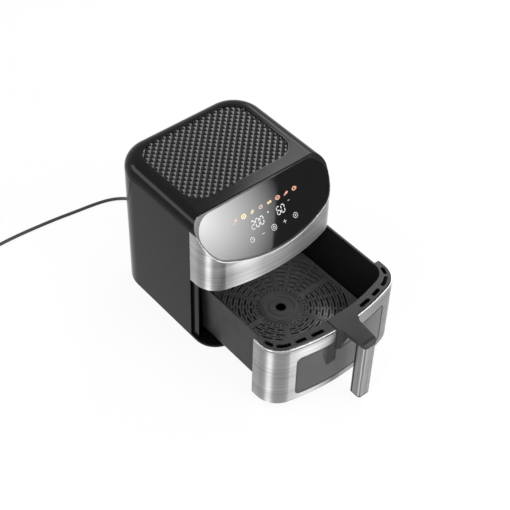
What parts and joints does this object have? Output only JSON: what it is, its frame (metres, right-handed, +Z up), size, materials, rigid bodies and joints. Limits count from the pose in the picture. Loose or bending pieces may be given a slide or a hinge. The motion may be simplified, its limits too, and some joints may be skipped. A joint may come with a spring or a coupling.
{
  "type": "air fryer",
  "caption": "Countertop air fryer with a sloping glass control panel and a pull-out windowed basket drawer, a pierced crisper plate and a bar handle.",
  "frame": {"origin": "middle of the footprint, cord left out, on the surface the feet stand on", "axes": "+Z up, -Y towards the user, the way the drawer pulls out, +X to the right seen from the front"},
  "size_m": [0.544, 0.8033, 0.295],
  "materials": {
    "black_shell": "satin black, fine grain",
    "black_trim": "semi-gloss black",
    "panel_glass": "gloss, back-printed black",
    "clear_glass": "clear tempered",
    "steel": "brushed along its length",
    "black_coating": "non-stick coating",
    "grey_coating": "non-stick coating",
    "seal": "silicone",
    "liner_steel": "aluminised sheet",
    "bright_wire": "polished",
    "element": "oxidised sheath",
    "motor_steel": "zinc plated",
    "fan_metal": "pressed",
    "board": "circuit board",
    "cord": "matte black",
    "pins": "nickel plated",
    "foot_rubber": "matte"
  },
  "bodies": {
    "housing": {"base_pan": "black_shell", "cavity_liner": "liner_steel", "control_glass": "panel_glass", "cord_coil": "cord", "cord_gland": "cord", "display_board": "board", "element_guard": "bright_wire", "foot_back_left": "foot_rubber", "foot_back_right": "foot_rubber", "foot_front_left": "foot_rubber", "foot_front_right": "foot_rubber", "head_frame": "black_trim", "heat_deck": "liner_steel", "heat_dome": "liner_steel", "heating_element": "element", "lamp_holder": "bright_wire", "lamp_lens": "clear_glass", "motor": "motor_steel", "motor_bracket": "liner_steel", "mouth_frame": "black_shell", "outer_shell": "black_shell", "plug_body": "cord", "plug_pin_left": "pins", "plug_pin_right": "pins", "power_board": "board", "power_cord": "cord", "rear_vent_grille": "black_shell", "steel_band": "steel", "thermal_cutout": "motor_steel", "top_panel": "black_shell"},
    "drawer": {"drawer_shell": "steel", "drawer_core": "black_shell", "drawer_ledge_left": "black_trim", "drawer_ledge_right": "black_trim", "basket": "black_coating", "drawer_trim_left": "steel", "drawer_trim_right": "steel", "window_frame": "seal", "window_glass": "clear_glass", "inner_glass": "clear_glass", "handle_bridge": "black_trim", "handle_core": "black_trim", "handle_sleeve": "steel", "handle_cap": "black_trim", "handle_screw_left": "motor_steel", "handle_screw_right": "motor_steel"},
    "crisper_plate": {"crisper_plate": "grey_coating", "plate_bumper_back_left": "seal", "plate_bumper_back_right": "seal", "plate_bumper_front_left": "seal", "plate_bumper_front_right": "seal"},
    "fan_rotor": {"motor_shaft": "motor_steel", "hot_air_fan": "fan_metal", "fan_nut": "motor_steel", "cooling_fan": "black_shell"}
  },
  "joints": [
    {"name": "drawer_slide", "type": "slide", "parent": "housing", "child": "drawer", "axis": [0, -1, 0], "range_m": [-0.168, 0.125]},
    {"name": "plate_lift", "type": "slide", "parent": "drawer", "child": "crisper_plate", "axis": [0, 0, 1], "range_m": [0, 0.09]},
    {"name": "fan_spin", "type": "hinge", "parent": "housing", "child": "fan_rotor", "pos_m": [0, 0.111, 0.18], "axis": [0, 0, 1], "continuous": true}
  ]
}
